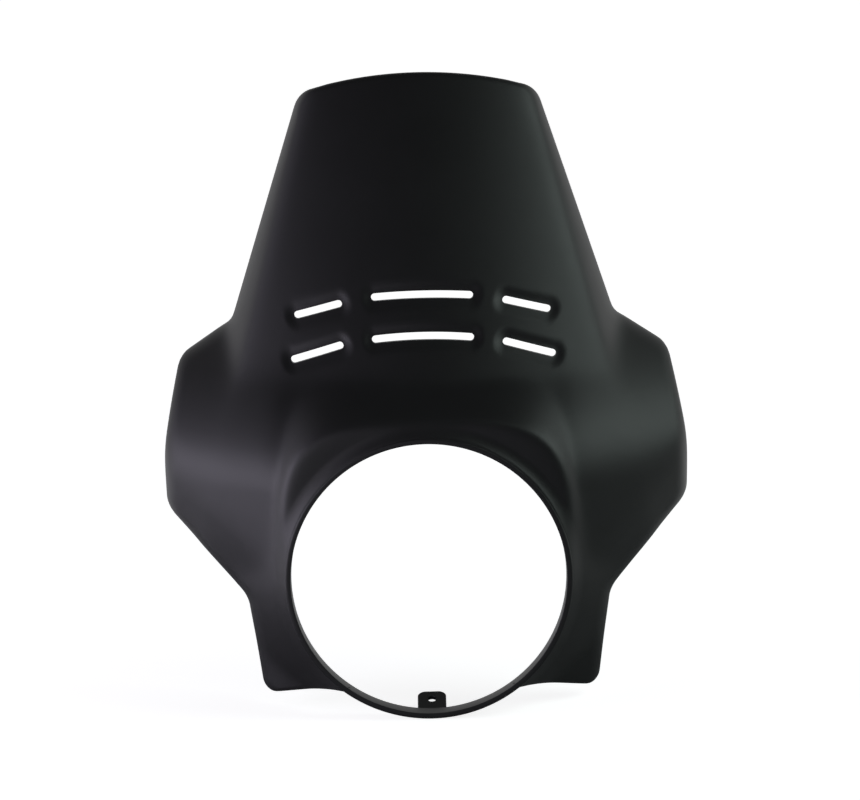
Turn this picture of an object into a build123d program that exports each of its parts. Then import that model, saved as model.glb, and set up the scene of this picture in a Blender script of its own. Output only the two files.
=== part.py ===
import os
from math import asin, cos, degrees, hypot, radians, sin, sqrt, tan

from build123d import *

# Headlight cowl: one moulded ABS skin round a lamp opening, with a screen above and two side wings.
# Millimetres. X is to the right seen from the front, Y runs backwards, Z is up.
# The origin is the centre of the lamp opening on the plane of the collar's front lip.

# Lamp opening, collar and wall
lamp_radius = 87.0
collar_wall = 3.8
collar_length = 12.0
lip_chamfer = 1.3
wall = 3.0
collar_radius = lamp_radius + collar_wall
rim_radius = lamp_radius + collar_wall / 2

# Hood round the lamp: a rounded square above the lamp's middle, a circle below it
hood_half_width = collar_radius + 1.2
hood_top = collar_radius + 9.2
hood_squareness = 4.0
hood_base_height = -10.0
hood_full_height = 60.0
bezel_depth = 4.0
lip_flare = 2.5
lip_flare_width = 8.0
shelf_slope = 1.7
skirt_slope = 1.3
ridge_softness = 5.5

# Wings at both sides of the hood
wing_depth = 9.0
wing_slope = 0.7
wing_softness = 12.0
wing_turn_height = 54.0
wing_top_radius = 45.0
wing_low_turn = hood_half_width + 6.0
wing_low_slope = 0.7

# Screen above the hood, with a crease and a side wall at each side
screen_foot_depth = wing_depth + 5.0
screen_foot_height = hood_top - 20.0
screen_lean = 30.0
screen_radius = 200.0
crease_inset = 13.2
crease_taper = 0.256
crease_softness = 5.0
side_wall_slope = 2.0

# Softness of the valleys between hood, wings and screen
valley_softness = 9.0
hood_valley_softness = 4.0

# Outline seen from the front, right half: corners and their radii
crown_height = 310.0
crown_radius = 270.0
top_corner_half_width = 80.1
top_corner_radius = 18.0
notch_half_width = 127.7
notch_height = 149.5
notch_radius = 16.0
wing_half_width = collar_radius + 81.4
shoulder_step = 9.4
shoulder_height = 127.5
shoulder_radius = 14.0
wing_bulge_step = 1.4
wing_bulge_height = 74.0
wing_bulge_radius = 180.0
wing_corner_height = 32.0
wing_corner_radius = 18.0
waist_half_width = collar_radius + 26.7
waist_height = -19.4
waist_radius = 16.0
skirt_half_width = collar_radius + 18.2
skirt_height = -collar_radius + 6.8
skirt_corner_radius = 8.0
skirt_root_angle = 36.0

# Rolled edge
wing_roll = 8.0
screen_roll = 6.0
flange = 3.0
rear_gap = 10.0
rear_margin = 1.0
trim_lean = 0.15

# Vent slots in the screen: a curved one in the middle and a straight one at each side, in two rows
slot_height = 5.1
upper_slot = dict(half_width=32.2, end=171.1, middle=173.9, inner=(52.9, 167.9), outer=(82.8, 158.4))
lower_slot = dict(half_width=32.0, end=144.9, middle=148.5, inner=(51.2, 142.3), outer=(84.6, 132.7))

# Screw tab behind the foot of the collar
tab_width = 18.3
tab_length = 19.0
tab_overlap = 1.0
tab_thickness = 3.0
tab_rise = 20.0
tab_corner_radius = 5.0
tab_hole_radius = 2.75
tab_hole_from_end = 8.0


def ramp(value, softness):
    return 0.5 * (value + sqrt(value**2 + softness**2))


def nearer(first, second, softness):
    return 0.5 * (first + second - sqrt((first - second) ** 2 + softness**2))


def ease(value, low, high):
    share = min(1, max(0, (value - low) / (high - low)))
    return share * share * (3 - 2 * share)


def hood_depth(x, z):
    upper = ease(z, hood_base_height, hood_full_height)
    power = 2 + (hood_squareness - 2) * upper
    half = collar_radius + (hood_half_width - collar_radius) * upper
    top = hood_top if z > 0 else collar_radius
    radius = max(lamp_radius / 2, hypot(x, z))
    ridge_share = ((abs(x) / half) ** power + (abs(z) / top) ** power) ** (1 / power)
    past_ridge = radius - radius / max(0.5, ridge_share)
    slope = skirt_slope + (shelf_slope - skirt_slope) * upper
    flare = min(1, max(0, 1 - (radius - collar_radius) / lip_flare_width))
    return bezel_depth - lip_flare * flare**2 + ramp(slope * past_ridge, ridge_softness)


def wing_depth_at(x, z):
    outward = wing_slope * ramp(abs(x) - hood_half_width, wing_softness)
    top = max(0, z - wing_turn_height) ** 2 / (2 * wing_top_radius)
    low = wing_low_slope * ramp((abs(x) - z - wing_low_turn) / sqrt(2), wing_softness)
    return wing_depth + outward + top + low


def screen_depth(x, z):
    crease = notch_half_width - crease_inset - crease_taper * (z - notch_height)
    lean = tan(radians(screen_lean)) * ramp(z - screen_foot_height, valley_softness)
    bow = x**2 / (2 * screen_radius)
    return screen_foot_depth + lean + bow + side_wall_slope * ramp(abs(x) - crease, crease_softness)


def skin_depth(x, z):
    body = nearer(screen_depth(x, z), wing_depth_at(x, z), valley_softness)
    return nearer(hood_depth(x, z), body, hood_valley_softness)


# Side outline from above the crown down past the skirt's lower edge
above_crown = crown_height + wing_roll
below_skirt = skirt_height - wing_roll
top_corner_height = crown_height - crown_radius + sqrt(crown_radius**2 - top_corner_half_width**2)
crown_angle = degrees(asin(top_corner_half_width / crown_radius))
screen_taper = (notch_half_width - top_corner_half_width) / (top_corner_height - notch_height)
skirt_taper = (waist_half_width - skirt_half_width) / (waist_height - below_skirt)
with BuildLine(Plane.XZ) as side:
    FilletPolyline(
        (notch_half_width - screen_taper * (above_crown - notch_height), above_crown),
        (notch_half_width, notch_height),
        (wing_half_width - shoulder_step, shoulder_height),
        (wing_half_width - wing_bulge_step, wing_bulge_height),
        (wing_half_width, wing_corner_height),
        (waist_half_width, waist_height),
        (skirt_half_width, below_skirt),
        radius=[notch_radius, shoulder_radius, wing_bulge_radius, wing_corner_radius, waist_radius],
    )


def side_at(z):
    cut = Edge.make_line((0, 0, z), (2 * wing_half_width, 0, z))
    for edge in side.edges():
        low, high = sorted((edge.position_at(0).Z, edge.position_at(1).Z))
        if low <= z <= high:
            share = edge.param_at_point(edge.intersect(cut)[0])
            heading = edge % share
            return (edge @ share).X, abs(heading.Z) / heading.length
    raise ValueError(f"no side at height {z}")


# Section points: shares of the half width up to the rolled edge, then angles round it
skin_shares = (0, 0.22, 0.38, 0.47, 0.54, 0.6, 0.66, 0.74, 0.86, 1)
roll_margin = 0.96
roll_angles = (0, 45, 90)


def skin_points(z, inset):
    half, square = side_at(z)
    half -= inset / square
    roll = wing_roll + (screen_roll - wing_roll) * ease(z, wing_turn_height, notch_height) - inset
    places = [share * roll_margin * (half - roll / square) for share in skin_shares]
    places += [half - roll * (1 - sin(radians(angle))) / square for angle in roll_angles]
    points = []
    for x in places:
        step = 0.1
        slope_x = (skin_depth(x + step, z) - skin_depth(x - step, z)) / (2 * step)
        slope_z = (skin_depth(x, z + step) - skin_depth(x, z - step)) / (2 * step)
        thickness = inset * sqrt(1 + slope_x**2 + slope_z**2)
        margin = max(0, roll - (half - x) * square)
        points.append((x, skin_depth(x, z) + thickness + roll - sqrt(max(0, roll**2 - margin**2))))
    points.append((half, points[-1][1] + flange))
    return [(-x, y) for x, y in reversed(points[1:])] + points


# Levels of the sections: each zone's upper limit and its number of steps, from the skirt up
station_zones = (
    (waist_height - waist_radius, 2),
    (waist_height + waist_radius, 4),
    (wing_corner_height, 3),
    (wing_turn_height, 3),
    (hood_top - 16, 2),
    (hood_top + 8, 5),
    (shoulder_height, 3),
    (notch_height + 10, 4),
    (above_crown, 3),
)
station_heights = [below_skirt]
for limit, steps in station_zones:
    start = station_heights[-1]
    station_heights += [start + (limit - start) * (step + 1) / steps for step in range(steps)]
back_depth = 260.0
tab_plane = Plane(
    origin=(0, collar_length, -rim_radius),
    x_dir=(1, 0, 0),
    z_dir=(0, -sin(radians(tab_rise)), cos(radians(tab_rise))),
)


def plug(inset):
    with BuildPart() as solid:
        for height in station_heights:
            points = skin_points(height, inset)
            with BuildSketch(Plane.XY.offset(height)):
                with BuildLine():
                    front = Spline(points)
                    Polyline(front @ 1, ((front @ 1).X, back_depth), ((front @ 0).X, back_depth), front @ 0)
                make_face()
        loft(ruled=True)
    return solid.part


with BuildPart() as cowl:
    # Outer form less the inner form, cut off behind the rolled edge
    add(plug(0))
    add(plug(wall), mode=Mode.SUBTRACT)
    add(plug(-rear_margin).moved(Location((0, rear_gap, 0))), mode=Mode.SUBTRACT)

    # Crown edge with its rounded corners
    with BuildSketch(Plane.XZ):
        with BuildLine() as above:
            crown = CenterArc((0, crown_height - crown_radius), crown_radius, 90, -crown_angle)
            corner_run = Vector(screen_taper + trim_lean, -1) * 2 * top_corner_radius
            lean = Line(crown @ 1, crown @ 1 + corner_run)
            clear_of_top = above_crown + wing_roll
            Polyline(lean @ 1, ((lean @ 1).X, clear_of_top), (0, clear_of_top), crown @ 0)
            fillet(above.vertices().sort_by_distance(crown @ 1)[0], top_corner_radius)
        make_face()
        mirror(about=Plane.YZ)
    extrude(amount=back_depth, both=True, mode=Mode.SUBTRACT)

    # Lower edge of the skirts with its rounded corners, and the gap between them below the collar
    with BuildSketch(Plane.XZ):
        with BuildLine():
            ring = CenterArc((0, 0), rim_radius, 270, skirt_root_angle)
            corner = Vector(skirt_half_width, skirt_height)
            corner_run = Vector(skirt_taper + trim_lean, 1) * 3 * skirt_corner_radius
            lower = FilletPolyline(ring @ 1, corner, corner + corner_run, radius=skirt_corner_radius)
            clear_of_foot = below_skirt - wing_roll
            Polyline(
                lower @ 1,
                (wing_half_width, (lower @ 1).Y),
                (wing_half_width, clear_of_foot),
                (0, clear_of_foot),
                ring @ 0,
            )
        make_face()
        mirror(about=Plane.YZ)
    extrude(amount=back_depth, both=True, mode=Mode.SUBTRACT)

    # Lamp opening and collar
    with BuildSketch(Plane.XZ):
        Circle(rim_radius)
    extrude(amount=back_depth, both=True, mode=Mode.SUBTRACT)
    with BuildSketch(Plane.XY) as collar:
        with Locations((lamp_radius, 0)):
            Rectangle(collar_wall, collar_length, align=(Align.MIN, Align.MIN))
        chamfer(collar.vertices().group_by(Axis.Y)[0].sort_by(Axis.X)[-1], lip_chamfer)
    revolve(axis=Axis.Y)

    # Screw tab
    with BuildSketch(tab_plane) as tab:
        with Locations((0, -tab_overlap)):
            Rectangle(tab_width, tab_length + tab_overlap, align=(Align.CENTER, Align.MIN))
        fillet(tab.vertices().group_by(Axis.Y)[-1], tab_corner_radius)
        with Locations((0, tab_length - tab_hole_from_end)):
            Circle(tab_hole_radius, mode=Mode.SUBTRACT)
    extrude(amount=tab_thickness / 2, both=True)

    # Vent slots
    with BuildSketch(Plane.XZ):
        for row in (upper_slot, lower_slot):
            with BuildLine():
                half, end = row["half_width"], row["end"]
                ThreePointArc((-half, end), (0, row["middle"]), (half, end))
                offset(amount=slot_height / 2)
            make_face()
            for turn in (-1, 1):
                inner = Vector(turn * row["inner"][0], row["inner"][1])
                outer = Vector(turn * row["outer"][0], row["outer"][1])
                SlotCenterPoint((inner + outer) / 2, outer, slot_height)
    extrude(amount=back_depth, both=True, mode=Mode.SUBTRACT)

cowl.part.label = "headlight_cowl"
os.makedirs("parts", exist_ok=True)
export_step(cowl.part, "parts/headlight_cowl.step")
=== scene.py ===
import math
import bmesh
import bpy
import numpy as np
from mathutils import Matrix, Vector


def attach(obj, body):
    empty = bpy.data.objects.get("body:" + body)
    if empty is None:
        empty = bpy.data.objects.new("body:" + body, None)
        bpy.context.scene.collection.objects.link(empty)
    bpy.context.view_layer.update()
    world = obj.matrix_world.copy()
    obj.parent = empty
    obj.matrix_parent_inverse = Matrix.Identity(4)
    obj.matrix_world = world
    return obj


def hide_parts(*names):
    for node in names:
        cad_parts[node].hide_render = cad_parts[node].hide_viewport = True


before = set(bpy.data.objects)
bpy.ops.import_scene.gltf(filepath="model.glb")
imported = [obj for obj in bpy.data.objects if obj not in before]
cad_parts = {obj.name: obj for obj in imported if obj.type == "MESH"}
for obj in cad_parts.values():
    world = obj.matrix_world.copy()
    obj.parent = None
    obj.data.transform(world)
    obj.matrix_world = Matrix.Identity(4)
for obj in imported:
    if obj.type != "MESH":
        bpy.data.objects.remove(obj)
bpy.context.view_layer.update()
print("frame loaded")

# cowl skin in millimetres: the solid part's sizes, but for a fuller flare, shorter slots and their dishes
mm = 0.001
skin = {
    "lampRadius": 87.0, "collarWall": 3.8, "wall": 3.0,
    "hoodHalf": 92.0, "hoodTop": 100.0, "hoodSquare": 4.0,  # round below, squarer above
    "hoodBase": -10.0, "hoodFull": 60.0,
    "bezel": 4.0, "flare": 3.5, "flareWidth": 8.0, "shelfSlope": 1.7, "skirtSlope": 1.3, "ridgeSoft": 5.5,
    "wingDepth": 9.0, "wingStart": 92.0, "wingSlope": 0.7, "wingSoft": 12.0,
    "wingTurn": 54.0, "wingTop": 45.0, "wingLowTurn": 98.0, "wingLowSlope": 0.7,
    "footDepth": 14.0, "footHeight": 80.0, "lean": 30.0, "screenRadius": 200.0,
    "creaseHeight": 149.5, "creaseHalf": 114.5, "creaseTaper": 0.256, "creaseSoft": 5.0, "sideSlope": 2.0,
    "valleySoft": 9.0, "hoodValleySoft": 4.0,
    "dishDepth": 2.2, "dishWidth": 7.0, "slotHeight": 4.7,
}
# one slot row: centre slot half width, end and middle heights, then a side slot's two ends
slotRows = [
    {"half": 30.6, "end": 170.5, "middle": 171.8, "inner": (54.1, 166.4), "outer": (80.8, 159.3)},
    {"half": 30.4, "end": 145.3, "middle": 147.0, "inner": (53.4, 141.5), "outer": (83.0, 132.6)},
]
collarRadius = skin["lampRadius"] + skin["collarWall"]
rimRadius = skin["lampRadius"] + skin["collarWall"] / 2


def ramp(value, soft):
    return 0.5 * (value + np.sqrt(value * value + soft * soft))


def nearer(first, second, soft):
    return 0.5 * (first + second - np.sqrt((first - second) ** 2 + soft * soft))


def ease(value, low, high):
    share = np.clip((value - low) / (high - low), 0, 1)
    return share * share * (3 - 2 * share)


def hoodDepth(x, z):
    upper = ease(z, skin["hoodBase"], skin["hoodFull"])
    power = 2 + (skin["hoodSquare"] - 2) * upper
    half = collarRadius + (skin["hoodHalf"] - collarRadius) * upper
    top = np.where(z > 0, skin["hoodTop"], collarRadius)
    radius = np.hypot(x, z)
    ridgeShare = ((np.abs(x) / half) ** power + (np.abs(z) / top) ** power) ** (1 / power)
    pastRidge = radius - radius / ridgeShare
    slope = skin["skirtSlope"] + (skin["shelfSlope"] - skin["skirtSlope"]) * upper
    flare = np.clip(1 - (radius - collarRadius) / skin["flareWidth"], 0, 1)
    return skin["bezel"] - skin["flare"] * flare ** 2 + ramp(slope * pastRidge, skin["ridgeSoft"])


def wingDepth(x, z):
    outward = skin["wingSlope"] * ramp(np.abs(x) - skin["wingStart"], skin["wingSoft"])
    top = np.maximum(0, z - skin["wingTurn"]) ** 2 / (2 * skin["wingTop"])
    pastTurn = (np.abs(x) - z - skin["wingLowTurn"]) / math.sqrt(2)
    low = skin["wingLowSlope"] * ramp(pastTurn, skin["wingSoft"])
    return skin["wingDepth"] + outward + top + low


def screenDepth(x, z):
    crease = skin["creaseHalf"] - skin["creaseTaper"] * (z - skin["creaseHeight"])
    lean = math.tan(math.radians(skin["lean"])) * ramp(z - skin["footHeight"], skin["valleySoft"])
    bow = x ** 2 / (2 * skin["screenRadius"])
    return skin["footDepth"] + lean + bow + skin["sideSlope"] * ramp(np.abs(x) - crease, skin["creaseSoft"])


def slotMiddle(row, across):
    return row["middle"] - (row["middle"] - row["end"]) * (across / row["half"]) ** 2


def slotDistance(x, z):
    nearest = np.full(np.shape(x), np.inf)
    for row in slotRows:
        across = np.clip(x, -row["half"], row["half"])
        nearest = np.minimum(nearest, np.hypot(x - across, z - slotMiddle(row, across)))
        run = np.subtract(row["outer"], row["inner"])
        along = ((np.abs(x) - row["inner"][0]) * run[0] + (z - row["inner"][1]) * run[1]) / (run @ run)
        along = np.clip(along, 0, 1)
        offX = np.abs(x) - row["inner"][0] - along * run[0]
        offZ = z - row["inner"][1] - along * run[1]
        nearest = np.minimum(nearest, np.hypot(offX, offZ))
    return nearest


def skinDepth(x, z):
    body = nearer(screenDepth(x, z), wingDepth(x, z), skin["valleySoft"])
    whole = nearer(hoodDepth(x, z), body, skin["hoodValleySoft"])
    slotEdge = skin["slotHeight"] / 2
    pastDish = ease(slotDistance(x, z), slotEdge, slotEdge + skin["dishWidth"])
    return whole + skin["dishDepth"] * (1 - pastDish)


# outline of the right half from the crown down to the collar: across, up and corner radius
outline = {
    "crownHeight": 310.0, "crownRadius": 270.0, "crownReach": 60, "crownStep": 4, "rootAngle": 144.0,
    "topCorner": (80.1, 297.7, 18.0), "notch": (127.7, 149.5, 16.0), "shoulder": (162.8, 127.5, 14.0),
    "wing": (170.8, 74.0, 180.0), "wingCorner": (172.2, 32.0, 18.0), "waist": (117.5, -19.4, 16.0),
    "skirt": (109.0, -84.0, 8.0), "arcPoints": 17,
}


# corners with radii become arcs, then points at most a millimetre apart
def roundedPath(corners):
    path = [np.array(corners[0][:2])]
    for before, corner, after in zip(corners, corners[1:], corners[2:]):
        here = np.array(corner[:2])
        radius = corner[2]
        if radius == 0:
            path.append(here)
            continue
        back = np.array(before[:2]) - here
        ahead = np.array(after[:2]) - here
        back /= np.linalg.norm(back)
        ahead /= np.linalg.norm(ahead)
        halfTurn = 0.5 * math.acos(np.clip(back @ ahead, -1, 1))
        reach = radius / math.tan(halfTurn)
        centre = here + (back + ahead) / np.linalg.norm(back + ahead) * radius / math.sin(halfTurn)
        start = here + back * reach - centre
        end = here + ahead * reach - centre
        turn = math.acos(np.clip(start @ end / radius ** 2, -1, 1))
        for share in np.linspace(0, 1, outline["arcPoints"]):
            mix = (math.sin((1 - share) * turn) * start + math.sin(share * turn) * end) / math.sin(turn)
            path.append(centre + mix)
    path.append(np.array(corners[-1][:2]))
    points = []
    for first, last in zip(path, path[1:]):
        count = max(1, math.ceil(np.linalg.norm(last - first)))
        points += [first + (last - first) * step / count for step in range(count)]
    return np.array(points + path[-1:])


root = math.radians(outline["rootAngle"])
rootPoint = (rimRadius * math.sin(root), rimRadius * math.cos(root), 0.0)
crownCentre = outline["crownHeight"] - outline["crownRadius"]
crown = []
for x in range(0, outline["crownReach"] + 1, outline["crownStep"]):
    crown.append((x, crownCentre + math.sqrt(outline["crownRadius"] ** 2 - x ** 2), 0.0))
cornerNames = ("topCorner", "notch", "shoulder", "wing", "wingCorner", "waist", "skirt")
edgePath = roundedPath(crown + [outline[name] for name in cornerNames] + [rootPoint])
pathAngle = np.arctan2(edgePath[:, 0], edgePath[:, 1])
pathRadius = np.hypot(edgePath[:, 0], edgePath[:, 1])


# read by angle from straight up
def outlineRadius(angle):
    return np.interp(np.abs(angle), pathAngle, pathRadius)


# the skin is a grid of spokes and rows round the lamp, closer together where a weight is added
grid = {
    "halfSpokes": 250, "slotTurn": 0.62, "slotWeight": 1.6, "footTurn": 2.1, "footWeight": 0.5,
    "rows": 92, "hoodShare": 0.3, "hoodWeight": 1.2, "slotShare": 0.6, "slotRowWeight": 0.6,
    "rollRows": 8, "samples": 4001, "turnStep": 0.002,
}
# edges roll backwards, less along the crown and the skirts, which have hardly any flange
edge = {
    "wingRoll": 8.0, "screenRoll": 6.0, "plainRoll": 3.4, "leastRoll": 0.01, "rollShare": 0.45,
    "flange": 4.0, "leastFlange": 0.6, "fadeBefore": 0.05, "fadeAfter": 0.04,
}


def spokeWeight(turn):
    upper = grid["slotWeight"] * (turn < grid["slotTurn"])
    return 1 + upper + grid["footWeight"] * (turn > grid["footTurn"])


def rowWeight(share):
    inner = grid["hoodWeight"] * (share < grid["hoodShare"])
    return 1 + inner + grid["slotRowWeight"] * (share < grid["slotShare"])


def spread(total, weight, low, high):
    steps = np.linspace(low, high, grid["samples"])
    sums = np.concatenate([[0], np.cumsum(weight(0.5 * (steps[1:] + steps[:-1])))])
    return np.interp(np.linspace(0, sums[-1], total), sums, steps)


halfAngles = spread(grid["halfSpokes"], spokeWeight, 0, root)
angles = np.concatenate([-halfAngles[:0:-1], halfAngles])
turned = np.abs(angles)
rim = outlineRadius(angles)
turnStep = grid["turnStep"]
rimRise = outlineRadius(np.minimum(root, turned + turnStep)) - outlineRadius(turned - turnStep)
rimSlope = rimRise / (2 * turnStep)
square = 1 / np.sqrt(1 + (rimSlope / rim) ** 2)  # 1 where a spoke meets the outline squarely


def pastCorner(name):
    cornerTurn = math.atan2(outline[name][0], outline[name][1])
    return ease(turned, cornerTurn - edge["fadeBefore"], cornerTurn + edge["fadeAfter"])


onScreen = ease(rim * np.cos(angles), skin["wingTurn"], outline["notch"][1])
sideRoll = edge["wingRoll"] + (edge["screenRoll"] - edge["wingRoll"]) * onScreen
onSide = pastCorner("topCorner") * (1 - pastCorner("skirt"))
roll = edge["plainRoll"] + (sideRoll - edge["plainRoll"]) * onSide
roll = np.minimum(roll, edge["rollShare"] * (rim - rimRadius) * square + edge["leastRoll"])


def skinRows(shares, rollTurns):
    inner = rim - roll / square
    spokeRows = [(rimRadius + (inner - rimRadius) * share, 0) for share in shares]
    for turn in rollTurns:
        spokeRows.append((rim - roll * (1 - np.sin(turn)) / square, roll * (1 - np.cos(turn))))
    points = []
    for radius, drop in spokeRows:
        x = radius * np.sin(angles)
        z = radius * np.cos(angles)
        points.append(np.stack([x, skinDepth(x, z) + drop, z], axis=1))
    return np.array(points)


def rowNormals(points):
    along = np.gradient(points, axis=1)
    outward = np.gradient(points, axis=0)
    across = np.cross(along, outward)
    return across / np.linalg.norm(across, axis=2, keepdims=True)


def gridFaces(rowCount, columnCount, start, flip):
    quads = []
    for i in range(rowCount - 1):
        for j in range(columnCount - 1):
            a = start + i * columnCount + j
            quad = (a, a + 1, a + columnCount + 1, a + columnCount)
            quads.append(quad[::-1] if flip else quad)
    return quads


frontShares = spread(grid["rows"], rowWeight, 0, 1)
front = skinRows(frontShares, np.linspace(0, math.pi / 2, grid["rollRows"])[1:])
flangeReach = (edge["leastFlange"] + edge["flange"] * onSide)[:, None] * (0, 1, 0)
front = np.concatenate([front, front[-1:] + 0.5 * flangeReach, front[-1:] + flangeReach])
normals = rowNormals(front)
normals[:, [0, -1]] = normals[:, [1, -2]]  # the end columns are too narrow for normals of their own
backRows = list(range(0, len(frontShares), 2)) + list(range(len(frontShares), len(front)))
back = (front - normals * skin["wall"])[backRows]
rows, columns = front.shape[:2]
vertices = np.concatenate([front.reshape(-1, 3), back.reshape(-1, 3)])
faces = gridFaces(rows, columns, 0, False)
firstBackFace = len(faces)
backStart = rows * columns
faces += gridFaces(len(backRows), columns, backStart, True)
pastBackFaces = len(faces)
lastFront = (rows - 1) * columns
lastBack = backStart + (len(backRows) - 1) * columns
for j in range(columns - 1):  # the outer edge, then the edge inside the collar
    faces.append((lastFront + j, lastFront + j + 1, lastBack + j + 1, lastBack + j))
    faces.append((j + 1, j, backStart + j, backStart + j + 1))
for j, flip in ((0, True), (columns - 1, False)):  # the two ends beside the collar's foot
    ring = [i * columns + j for i in range(rows)]
    ring += [backStart + i * columns + j for i in reversed(range(len(backRows)))]
    faces.append(ring[::-1] if flip else ring)


def newMesh(name, points, meshFaces):
    mesh = bpy.data.meshes.new(name)
    mesh.from_pydata([tuple(mm * np.array(p)) for p in points], [], meshFaces)
    mesh.update()
    return mesh


def newObject(name, data):
    thing = bpy.data.objects.new(name, data)
    bpy.context.scene.collection.objects.link(thing)
    return thing


skinMesh = newMesh("cowlSkin", vertices, faces)
for i, polygon in enumerate(skinMesh.polygons):
    polygon.material_index = 1 if firstBackFace <= i < pastBackFaces else 0
skinObject = newObject("cowlSkin", skinMesh)
print("skin mesh", len(vertices), len(faces))

# vent slots, cut straight through along the draw direction
slotCut = {"front": -10.0, "back": 190.0, "endPoints": 16, "centrePoints": 25, "sidePoints": 9}


def slotLines(row):
    across = np.linspace(-row["half"], row["half"], slotCut["centrePoints"])
    lines = [np.stack([across, slotMiddle(row, across)], axis=1)]
    for side in (-1, 1):
        inner, outer = ((side * x, z) for x, z in (row["inner"], row["outer"]))
        lines.append(np.linspace(inner, outer, slotCut["sidePoints"]))
    return lines


def slotLoop(line):
    half = skin["slotHeight"] / 2
    headings = np.gradient(line, axis=0)
    headings /= np.linalg.norm(headings, axis=1, keepdims=True)
    sides = np.stack([headings[:, 1], -headings[:, 0]], axis=1)
    turns = np.linspace(0, math.pi, slotCut["endPoints"])[1:-1, None]
    farEnd = line[-1] + half * (np.cos(turns) * sides[-1] + np.sin(turns) * headings[-1])
    nearEnd = line[0] - half * (np.cos(turns) * sides[0] + np.sin(turns) * headings[0])
    return np.concatenate([line + half * sides, farEnd, (line - half * sides)[::-1], nearEnd])


cutPoints, cutFaces = [], []
for row in slotRows:
    for line in slotLines(row):
        loop = slotLoop(line)
        count, start = len(loop), len(cutPoints)
        for y in (slotCut["front"], slotCut["back"]):
            cutPoints += [(x, y, z) for x, z in loop]
        cutFaces.append([start + i for i in range(count)])
        cutFaces.append([start + count + i for i in reversed(range(count))])
        for i in range(count):
            after = (i + 1) % count
            cutFaces.append((start + i, start + count + i, start + count + after, start + after))
cutter = newObject("slotCutter", newMesh("slotCutter", cutPoints, cutFaces))
cut = skinObject.modifiers.new("slots", "BOOLEAN")
cut.operation = "DIFFERENCE"
cut.solver = "EXACT"
cut.use_hole_tolerant = True
cut.object = cutter
graph = bpy.context.evaluated_depsgraph_get()
slotted = bpy.data.meshes.new_from_object(skinObject.evaluated_get(graph))
bpy.data.objects.remove(cutter)
bpy.data.objects.remove(skinObject)
print("slots cut", len(slotted.polygons))


# quads between rings of one size, the last ring joined to the first
def ringFaces(ringCount, ringSize):
    quads = []
    for i in range(ringCount):
        here = i * ringSize
        there = (i + 1) % ringCount * ringSize
        for k in range(ringSize):
            nextK = (k + 1) % ringSize
            quads.append((here + k, here + nextK, there + nextK, there + k))
    return quads


# lamp collar, turned round the opening's axis
collar = {"length": 12.0, "lip": 1.6, "edge": 0.4, "segments": 288, "cornerSteps": 5}
innerR, outerR = skin["lampRadius"], collarRadius
profile = []
for centreR, centreY, radius, first in (
    (innerR + collar["edge"], collar["edge"], collar["edge"], 180),
    (outerR - collar["lip"], collar["lip"], collar["lip"], 270),
    (outerR - collar["edge"], collar["length"] - collar["edge"], collar["edge"], 0),
    (innerR + collar["edge"], collar["length"] - collar["edge"], collar["edge"], 90),
):
    for step in range(collar["cornerSteps"] + 1):
        turn = math.radians(first + 90 * step / collar["cornerSteps"])
        profile.append((centreR + radius * math.cos(turn), centreY + radius * math.sin(turn)))
collarPoints = []
for i in range(collar["segments"]):
    turn = 2 * math.pi * i / collar["segments"]
    collarPoints += [(r * math.sin(turn), y, r * math.cos(turn)) for r, y in profile]
collarMesh = newMesh("collar", collarPoints, ringFaces(collar["segments"], len(profile)))
print("collar mesh", len(collarMesh.polygons))

# screw tab behind the collar's foot: rings from the hole out to the tab's edge and back
tab = {
    "width": 18.3, "length": 19.0, "thickness": 3.0, "rise": 20.0, "corner": 5.0,
    "hole": 2.75, "fromEnd": 8.0, "overlap": 1.0, "edge": 0.4,
}
tabHalf = roundedPath([
    (0.0, -tab["overlap"], 0.0),
    (tab["width"] / 2, -tab["overlap"], 0.0),
    (tab["width"] / 2, tab["length"], tab["corner"]),
    (0.0, tab["length"], 0.0),
])
tabOutline = np.concatenate([tabHalf, (tabHalf * (-1, 1))[-2:0:-1]])
holeAt = np.array([0.0, tab["length"] - tab["fromEnd"]])
spokeWays = tabOutline - holeAt
spokeWays /= np.linalg.norm(spokeWays, axis=1, keepdims=True)
holeRing = holeAt + spokeWays * tab["hole"]
holeOuter = holeAt + spokeWays * (tab["hole"] + tab["edge"])
edgeRing = tabOutline - spokeWays * tab["edge"]
faceLift = tab["thickness"] / 2
sideLift = faceLift - tab["edge"]
tabRings = [
    (holeRing, -sideLift), (holeOuter, -faceLift), (edgeRing, -faceLift), (tabOutline, -sideLift),
    (tabOutline, sideLift), (edgeRing, faceLift), (holeOuter, faceLift), (holeRing, sideLift),
]
rise = math.radians(tab["rise"])
tabPoints = []
for ring, lift in tabRings:
    for u, v in ring:
        y = collar["length"] + v * math.cos(rise) - lift * math.sin(rise)
        z = -rimRadius + v * math.sin(rise) + lift * math.cos(rise)
        tabPoints.append((u, y, z))
tabMesh = newMesh("tab", tabPoints, ringFaces(len(tabRings), len(tabOutline)))
print("tab mesh", len(tabMesh.polygons))

# one piece from the three forms
sharpAngle = 38
joined = bmesh.new()
for mesh in (slotted, collarMesh, tabMesh):
    joined.from_mesh(mesh)
bmesh.ops.recalc_face_normals(joined, faces=joined.faces)
wholeMesh = bpy.data.meshes.new("headlightCowl")
joined.to_mesh(wholeMesh)
joined.free()
wholeMesh.shade_smooth()
wholeMesh.set_sharp_from_angle(angle=math.radians(sharpAngle))
cowl = newObject("headlightCowl", wholeMesh)
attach(cowl, "root")
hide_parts("headlight_cowl")
print("cowl joined", len(wholeMesh.polygons))


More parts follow.
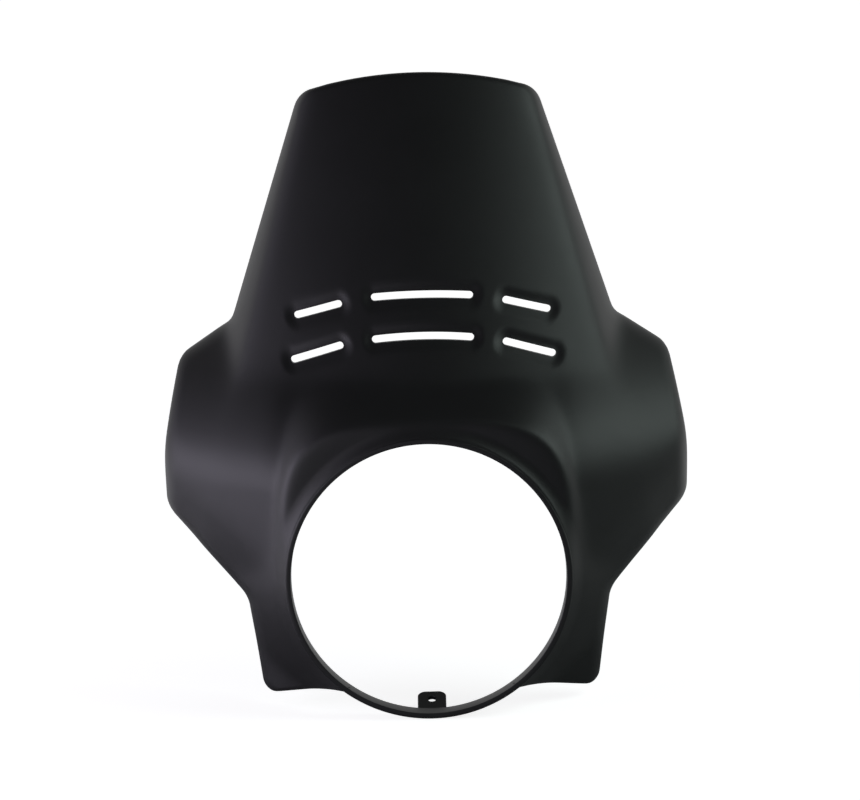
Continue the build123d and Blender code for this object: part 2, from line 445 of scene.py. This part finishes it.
def addNode(tree, kind, inputs=None, **settings):
    node = tree.nodes.new("ShaderNode" + kind)
    for name, value in settings.items():
        setattr(node, name, value)
    for socket, value in (inputs or {}).items():
        node.inputs[socket].default_value = value
    return node


def wire(tree, start, output, end, socket):
    tree.links.new(start.outputs[output], end.inputs[socket])


# grain, cloudiness and worn edges of moulded plastic, for both the face and the back
grain = bpy.data.node_groups.new("mouldGrain", "ShaderNodeTree")
for name, value in (("Fine Scale", 900.0), ("Broad Scale", 14.0)):
    socket = grain.interface.new_socket(name=name, in_out="INPUT", socket_type="NodeSocketFloat")
    socket.default_value = value
for name in ("Height", "Cloud", "Edge"):
    grain.interface.new_socket(name=name, in_out="OUTPUT", socket_type="NodeSocketFloat")
grainIn = grain.nodes.new("NodeGroupInput")
grainOut = grain.nodes.new("NodeGroupOutput")
place = addNode(grain, "TexCoord")
fine = addNode(grain, "TexNoise", {"Detail": 3.0, "Roughness": 0.6})
broad = addNode(grain, "TexNoise", {"Detail": 4.0, "Roughness": 0.55})
bends = addNode(grain, "NewGeometry")
bendRange = addNode(grain, "MapRange", {"From Min": 0.52, "From Max": 0.62})
for noise, scale, result in ((fine, "Fine Scale", "Height"), (broad, "Broad Scale", "Cloud")):
    wire(grain, place, "Object", noise, "Vector")
    wire(grain, grainIn, scale, noise, "Scale")
    wire(grain, noise, "Fac", grainOut, result)
wire(grain, bends, "Pointiness", bendRange, "Value")
wire(grain, bendRange, "Result", grainOut, "Edge")


def mouldedPlastic(look):
    material = bpy.data.materials.new(look["name"])
    material.use_nodes = True
    tree = material.node_tree
    shader = tree.nodes["Principled BSDF"]
    shader.inputs["Specular IOR Level"].default_value = look["specular"]
    scales = {"Fine Scale": look["fineScale"], "Broad Scale": look["broadScale"]}
    texture = addNode(tree, "Group", scales, node_tree=grain)
    tint = addNode(tree, "Mix", {"A": look["dark"], "B": look["light"]}, data_type="RGBA")
    rough = addNode(tree, "MapRange", {"To Min": look["roughLow"], "To Max": look["roughHigh"]})
    worn = addNode(tree, "Math", {1: -look["wear"]}, operation="MULTIPLY_ADD")
    bump = addNode(tree, "Bump", {"Strength": look["bump"], "Distance": look["bumpDepth"]})
    wire(tree, texture, "Cloud", tint, "Factor")
    wire(tree, texture, "Cloud", rough, "Value")
    wire(tree, texture, "Edge", worn, 0)
    wire(tree, rough, "Result", worn, 2)
    wire(tree, texture, "Height", bump, "Height")
    wire(tree, tint, "Result", shader, "Base Color")
    wire(tree, worn, "Value", shader, "Roughness")
    wire(tree, bump, "Normal", shader, "Normal")
    return material


satinFace = mouldedPlastic({
    "name": "satinFace", "fineScale": 1400.0, "broadScale": 18.0,
    "dark": (0.0042, 0.0042, 0.0045, 1), "light": (0.0056, 0.0056, 0.006, 1),
    "roughLow": 0.46, "roughHigh": 0.56, "wear": 0.05, "bump": 0.12, "bumpDepth": 0.0003, "specular": 0.5,
})
matteBack = mouldedPlastic({
    "name": "matteBack", "fineScale": 900.0, "broadScale": 12.0,
    "dark": (0.012, 0.012, 0.0125, 1), "light": (0.018, 0.018, 0.0185, 1),
    "roughLow": 0.52, "roughHigh": 0.66, "wear": 0.03, "bump": 0.25, "bumpDepth": 0.0004, "specular": 0.45,
})
wholeMesh.materials.clear()
wholeMesh.materials.append(satinFace)
wholeMesh.materials.append(matteBack)
print("materials set")

# pale floor in metres: near white to the camera, and white where the cowl mirrors it from behind
floorLook = {
    "size": 80.0, "height": -0.091, "grey": 0.55,
    "near": 0.3, "far": 1.6, "nearGlow": 0.85, "farGlow": 1.0,
    "mirrorStart": 0.17, "mirrorFull": 0.45,
}
floorReach = floorLook["size"] / 2
floorCorners = [(x * floorReach, y * floorReach, 0) for x, y in ((-1, -1), (1, -1), (1, 1), (-1, 1))]
floorMesh = bpy.data.meshes.new("floor")
floorMesh.from_pydata(floorCorners, [], [(0, 1, 2, 3)])
floor = newObject("floor", floorMesh)
floor.location.z = floorLook["height"]
paleFloor = bpy.data.materials.new("paleFloor")
paleFloor.use_nodes = True
floorTree = paleFloor.node_tree
floorTree.nodes.remove(floorTree.nodes["Principled BSDF"])
floorOut = floorTree.nodes["Material Output"]
paint = addNode(floorTree, "BsdfDiffuse", {"Color": (floorLook["grey"],) * 3 + (1,)})
glow = addNode(floorTree, "Emission")
both = addNode(floorTree, "AddShader")
floorPath = addNode(floorTree, "LightPath")
floorPlace = addNode(floorTree, "TexCoord")
floorParts = addNode(floorTree, "SeparateXYZ")
away = addNode(floorTree, "VectorMath", operation="LENGTH")
fade = addNode(floorTree, "MapRange", {
    "From Min": floorLook["near"], "From Max": floorLook["far"],
    "To Min": floorLook["nearGlow"], "To Max": floorLook["farGlow"],
})
mirrorRange = {"From Min": floorLook["mirrorStart"], "From Max": floorLook["mirrorFull"]}
behind = addNode(floorTree, "MapRange", mirrorRange, interpolation_type="SMOOTHSTEP")
seenGlow = addNode(floorTree, "Math", operation="MULTIPLY")
allGlow = addNode(floorTree, "Math", operation="MULTIPLY_ADD")
wire(floorTree, floorPlace, "Object", away, 0)
wire(floorTree, away, "Value", fade, "Value")
wire(floorTree, floorPath, "Is Camera Ray", seenGlow, 0)
wire(floorTree, fade, "Result", seenGlow, 1)
wire(floorTree, floorPlace, "Object", floorParts, "Vector")
wire(floorTree, floorParts, "Y", behind, "Value")
wire(floorTree, behind, "Result", allGlow, 0)
wire(floorTree, floorPath, "Is Glossy Ray", allGlow, 1)
wire(floorTree, seenGlow, "Value", allGlow, 2)
wire(floorTree, allGlow, "Value", glow, "Strength")
wire(floorTree, paint, "BSDF", both, 0)
wire(floorTree, glow, "Emission", both, 1)
wire(floorTree, both, "Shader", floorOut, "Surface")
floorMesh.materials.append(paleFloor)

# white all round for the camera; the cowl mirrors a white backdrop behind it and a dark room in front
studio = {"room": 0.04, "backdrop": 0.9, "edgeStart": -0.1, "edgeFull": 0.7, "upShare": -0.8}
world = bpy.data.worlds.new("studio")
bpy.context.scene.world = world
world.use_nodes = True
worldTree = world.node_tree
ground = worldTree.nodes["Background"]
ground.inputs["Color"].default_value = (1, 1, 1, 1)
heading = addNode(worldTree, "TexCoord")
headingParts = addNode(worldTree, "SeparateXYZ")
lowered = addNode(worldTree, "Math", {1: studio["upShare"]}, operation="MULTIPLY_ADD")
backdropRange = {
    "From Min": studio["edgeStart"], "From Max": studio["edgeFull"], "To Max": studio["backdrop"],
}
backdrop = addNode(worldTree, "MapRange", backdropRange, interpolation_type="SMOOTHSTEP")
worldPath = addNode(worldTree, "LightPath")
mirrored = addNode(worldTree, "Math", operation="MULTIPLY")
seenWhite = addNode(worldTree, "Math", operation="MAXIMUM")
worldLevel = addNode(worldTree, "Math", {1: studio["room"]}, operation="MAXIMUM")
wire(worldTree, heading, "Generated", headingParts, "Vector")
wire(worldTree, headingParts, "Z", lowered, 0)
wire(worldTree, headingParts, "Y", lowered, 2)
wire(worldTree, lowered, "Value", backdrop, "Value")
wire(worldTree, backdrop, "Result", mirrored, 0)
wire(worldTree, worldPath, "Is Glossy Ray", mirrored, 1)
wire(worldTree, mirrored, "Value", seenWhite, 0)
wire(worldTree, worldPath, "Is Camera Ray", seenWhite, 1)
wire(worldTree, seenWhite, "Value", worldLevel, 0)
wire(worldTree, worldLevel, "Value", ground, "Strength")

# soft boxes: low at the left, high at the right, and two weak ones that fill in
softBoxes = [
    {
        "name": "leftBox", "size": (0.9, 0.5), "energy": 6.4, "color": (0.88, 0.83, 1.0),
        "place": (-1.05, -0.3, 0.165), "aim": (0, 0.03, 0.02),
    },
    {
        "name": "rightBox", "size": (1.2, 1.2), "energy": 11.5, "color": (0.86, 1.0, 0.95),
        "place": (1.4, -0.12, 0.95), "aim": (0, 0.05, 0.1),
    },
    {
        "name": "frontBox", "size": (0.7, 0.4), "energy": 2.6, "color": (0.92, 0.88, 1.0),
        "place": (-0.75, -1.1, 0.12), "aim": (0, 0.0, 0.02),
    },
    {
        "name": "leftHighBox", "size": (0.8, 0.8), "energy": 1.5, "color": (0.88, 0.83, 1.0),
        "place": (-1.15, 0.15, 0.7), "aim": (0, 0.05, 0.08),
    },
]
for box in softBoxes:
    boxLight = bpy.data.lights.new(box["name"], "AREA")
    boxLight.shape = "RECTANGLE"
    boxLight.size, boxLight.size_y = box["size"]
    boxLight.energy = box["energy"]
    boxLight.color = box["color"]
    boxLamp = newObject(box["name"], boxLight)
    boxLamp.location = box["place"]
    way = Vector(box["aim"]) - Vector(box["place"])
    boxLamp.rotation_euler = way.to_track_quat("-Z", "Y").to_euler()

# pool of light on the floor at the left, out of the picture, for the cowl to mirror
pool = {
    "energy": 200.0, "color": (0.88, 0.83, 1.0), "cone": 28, "blend": 0.9, "softness": 0.05,
    "place": (-0.62, 0.08, 0.9),
}
poolLight = bpy.data.lights.new("leftPool", "SPOT")
poolLight.energy = pool["energy"]
poolLight.color = pool["color"]
poolLight.spot_size = math.radians(pool["cone"])
poolLight.spot_blend = pool["blend"]
poolLight.shadow_soft_size = pool["softness"]
poolLamp = newObject("leftPool", poolLight)
poolLamp.location = pool["place"]

# camera in front and a little above
view = {"place": (0.0035, -1.555, 0.392), "tilt": 10.1, "lean": -1.43, "lens": 106.53, "sensor": 36.0}
cameraData = bpy.data.cameras.new("camera")
cameraData.lens = view["lens"]
cameraData.sensor_width = view["sensor"]
cameraData.sensor_fit = "HORIZONTAL"
camera = newObject("camera", cameraData)
tilted = Matrix.Rotation(math.radians(90 - view["tilt"]), 4, "X")
leaned = Matrix.Rotation(math.radians(view["lean"]), 4, "Z")
camera.matrix_world = Matrix.Translation(view["place"]) @ tilted @ leaned
bpy.context.scene.camera = camera
bpy.context.scene.view_settings.view_transform = "Standard"
print("stage set")
